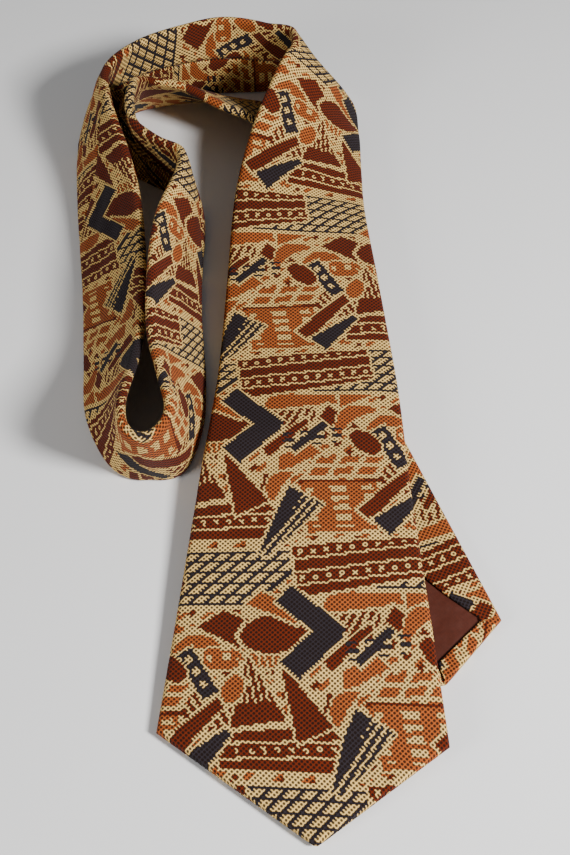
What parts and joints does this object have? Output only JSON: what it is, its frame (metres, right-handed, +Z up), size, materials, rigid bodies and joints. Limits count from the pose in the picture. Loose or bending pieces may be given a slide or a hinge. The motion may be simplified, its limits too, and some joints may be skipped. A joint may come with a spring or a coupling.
{
  "type": "necktie",
  "caption": "Wide printed knit necktie laid out with its neck band standing in a loop, a front blade that lifts and a tail that swings out from under it.",
  "frame": {"origin": "middle of the laid tie's outline, on the surface that it lies on", "axes": "+Y from the front tip towards the neck band, +X towards the side where the tail shows, +Z up from the surface"},
  "size_m": [0.1831, 0.3885, 0.0488],
  "materials": {
    "shell": "printed open-mesh double knit, matt",
    "interlining": "brushed wool interlining, matt",
    "tipping": "plain woven lining, low sheen",
    "thread": "polyester sewing thread"
  },
  "bodies": {
    "neck_band": {"front_shell_upper": "shell", "front_interlining_upper": "interlining", "keeper_loop": "shell", "keeper_stitches": "thread", "front_joining_seam": "thread", "neck_shell": "shell", "neck_interlining": "interlining", "slip_stitch_neck": "thread", "tail_joining_seam": "thread", "tail_shell_upper": "shell", "tail_interlining_upper": "interlining"},
    "front_blade": {"front_shell_lower": "shell", "front_interlining_lower": "interlining", "front_tipping": "tipping", "slip_stitch_front": "thread", "front_bar_tack": "thread"},
    "tail_blade": {"tail_shell_lower": "shell", "tail_interlining_lower": "interlining", "tail_tipping": "tipping", "slip_stitch_tail": "thread", "tail_bar_tack": "thread"}
  },
  "joints": [
    {"name": "front_lift", "type": "hinge", "parent": "neck_band", "child": "front_blade", "pos_m": [0.01695, -0.04486, 0.0134], "axis": [-0.999, 0.0174, -0.0419], "range_deg": [0, 75]},
    {"name": "tail_swing", "type": "hinge", "parent": "neck_band", "child": "tail_blade", "pos_m": [0.0181, 0.004, 0.002], "axis": [0, 0, 1], "range_deg": [0, 20]}
  ]
}
